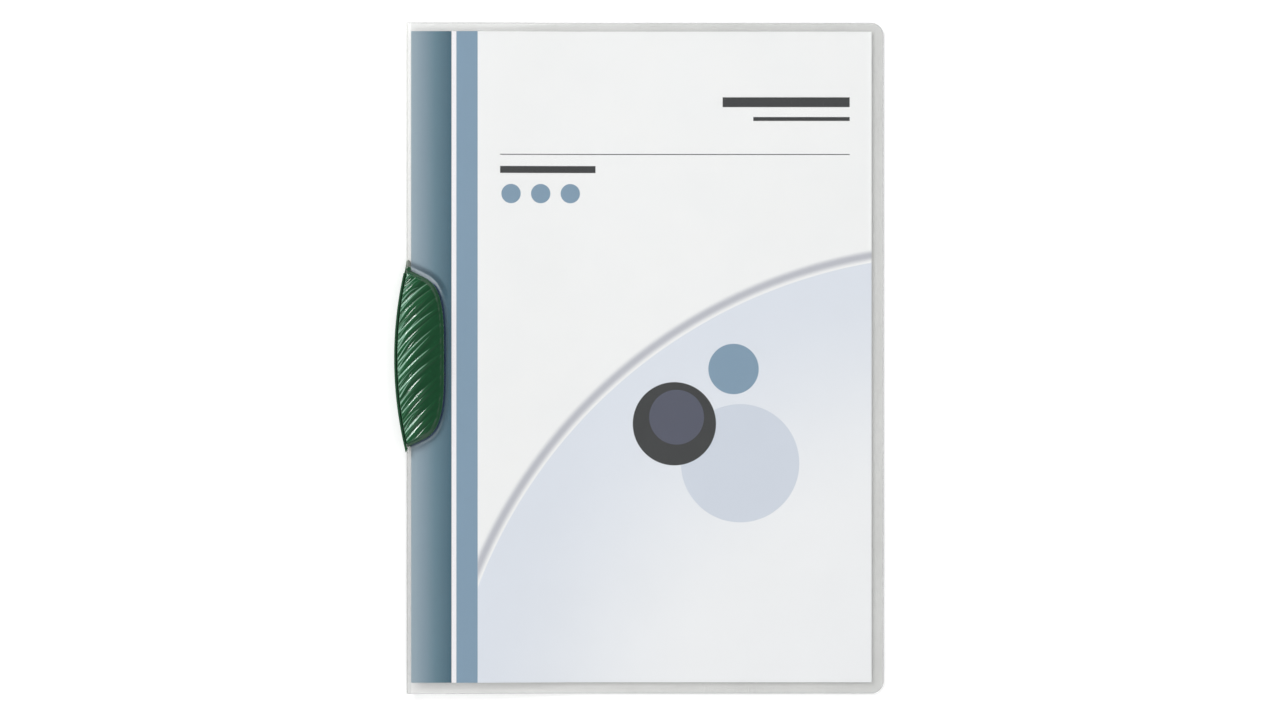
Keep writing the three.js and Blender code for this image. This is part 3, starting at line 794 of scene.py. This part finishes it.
def lever_material():
    """Glossy green plastic with painted highlights: a little lighter along the crests of the folds
    and pale mint on their shoulders.
    """
    paint = Paint("crumpled_clip_plastic")
    vector = paint.places()[0]
    # Painted highlights: lighter on the crests of the folds, pale mint on their shoulders
    crest_highlight = paint.ramp(paint.attribute("crest_highlight"), 0.1, 0.6)
    shoulder_highlight = paint.times(paint.ramp(paint.attribute("shoulder_highlight"), 0.35, 0.8), 0.8)
    cloud = paint.noise(vector, 0.25, 3.0)
    colour = paint.mix(cloud, srgb(10, 60, 32), srgb(20, 72, 42))
    colour = paint.mix(crest_highlight, colour, srgb(26, 86, 50))
    colour = paint.mix(shoulder_highlight, colour, srgb(150, 192, 170))
    paint.set(Base_Color=colour, Roughness=0.14, IOR=1.5)
    paint.bump(paint.noise(vector, 2.0, 2.0), 0.05, 0.0002)
    return paint.material


def smooth_clip_material():
    """Smooth dark green plastic with a fine moulded grain."""
    paint = Paint("smooth_clip_plastic")
    place = paint.node("ShaderNodeTexCoord").outputs["Object"]
    colour = paint.mix(paint.noise(place, 300.0, 3.0), srgb(20, 68, 40), srgb(28, 78, 48))
    paint.set(Base_Color=colour, Roughness=0.3, IOR=1.5)
    paint.bump(paint.noise(place, 4000.0, 3.0), 0.1, 0.0001)
    return paint.material


def floor_material():
    """A white floor that the camera sees as white, with the object's shadow on it."""
    paint = Paint("floor")
    paint.set(Base_Color=srgb(240, 240, 240), Roughness=0.9)
    rays = paint.node("ShaderNodeLightPath")
    seen = paint.larger(rays.outputs["Is Camera Ray"], rays.outputs["Is Glossy Ray"])
    seen = paint.larger(seen, rays.outputs["Is Transmission Ray"])
    glow = paint.node("ShaderNodeEmission")
    paint.put(glow.inputs["Strength"], paint.times(seen, FLOOR_GLOW))
    both = paint.node("ShaderNodeAddShader")
    paint.put(both.inputs[0], paint.shader.outputs[0])
    paint.put(both.inputs[1], glow.outputs[0])
    paint.put(paint.output.inputs["Surface"], both.outputs[0])
    return paint.material


def dress(piece, material):
    """Give a piece its only material."""
    piece.data.materials.clear()
    piece.data.materials.append(material)


# Studio


def add_area(name, place, aim, size, power):
    """A rectangular lamp that faces its aim, in metres and watts."""
    data = bpy.data.lights.new(name, "AREA")
    data.shape = "RECTANGLE"
    data.size, data.size_y = size
    data.energy = power
    light = bpy.data.objects.new(name, data)
    light.location = place
    light.rotation_euler = (Vector(aim) - Vector(place)).to_track_quat("-Z", "Y").to_euler()
    bpy.context.scene.collection.objects.link(light)


def world_light():
    """Bright walls and a darker ceiling, which the camera sees as plain white."""
    world = bpy.data.worlds.new("studio")
    bpy.context.scene.world = world
    world.use_nodes = True
    tree = world.node_tree
    place = tree.nodes.new("ShaderNodeTexCoord")
    split = tree.nodes.new("ShaderNodeSeparateXYZ")
    tree.links.new(place.outputs["Generated"], split.inputs[0])
    height = tree.nodes.new("ShaderNodeMapRange")
    height.interpolation_type = "SMOOTHSTEP"
    tree.links.new(split.outputs[2], height.inputs["Value"])
    limits = {
        "From Min": WALL_TOP,
        "From Max": CEILING_START,
        "To Min": WALL_LIGHT,
        "To Max": CEILING_LIGHT,
    }
    for name, value in limits.items():
        height.inputs[name].default_value = value
    rays = tree.nodes.new("ShaderNodeLightPath")
    seen = tree.nodes.new("ShaderNodeMix")
    tree.links.new(rays.outputs["Is Camera Ray"], seen.inputs[0])
    tree.links.new(height.outputs["Result"], seen.inputs[2])
    seen.inputs[3].default_value = 1.0
    background = tree.nodes["Background"]
    background.inputs["Color"].default_value = (1, 1, 1, 1)
    tree.links.new(seen.outputs[0], background.inputs["Strength"])


def studio():
    """World light, one lamp beyond the folder's upper left corner, and the floor."""
    world_light()
    add_area("key", place=(-2.4, 2.1, 1.9), aim=(-0.05, 0, 0), size=(1.0, 1.0), power=78)
    bpy.ops.mesh.primitive_plane_add(size=FLOOR_SIZE_M, location=(0, 0, -FLOOR_DROP_M))
    floor = bpy.context.object
    floor.name = "floor"
    dress(floor, floor_material())


def camera():
    """A camera that looks straight down, at the photograph's scale and place."""
    data = bpy.data.cameras.new("camera")
    data.lens = CAMERA_LENS
    data.sensor_width = CAMERA_SENSOR
    distance = PHOTO_WIDTH_MM * CAMERA_LENS / CAMERA_SENSOR
    made = bpy.data.objects.new("camera", data)
    aim_x, aim_y = CAMERA_AIM
    made.location = ((SPINE_X + aim_x) * MM, aim_y * MM, (FRONT_TOP + distance) * MM)
    bpy.context.scene.collection.objects.link(made)
    bpy.context.scene.camera = made


camera()
film = film_material()
for cover in (back_film(), front_film()):
    dress(cover, film)
sheet = printed_sheet()
dress(sheet, print_material())
dress(lever(), lever_material())
clip_plastic = smooth_clip_material()
for node in ("clip_base", "pivot_pin"):
    dress(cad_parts[node], clip_plastic)
studio()
bpy.context.scene.view_settings.view_transform = "Standard"
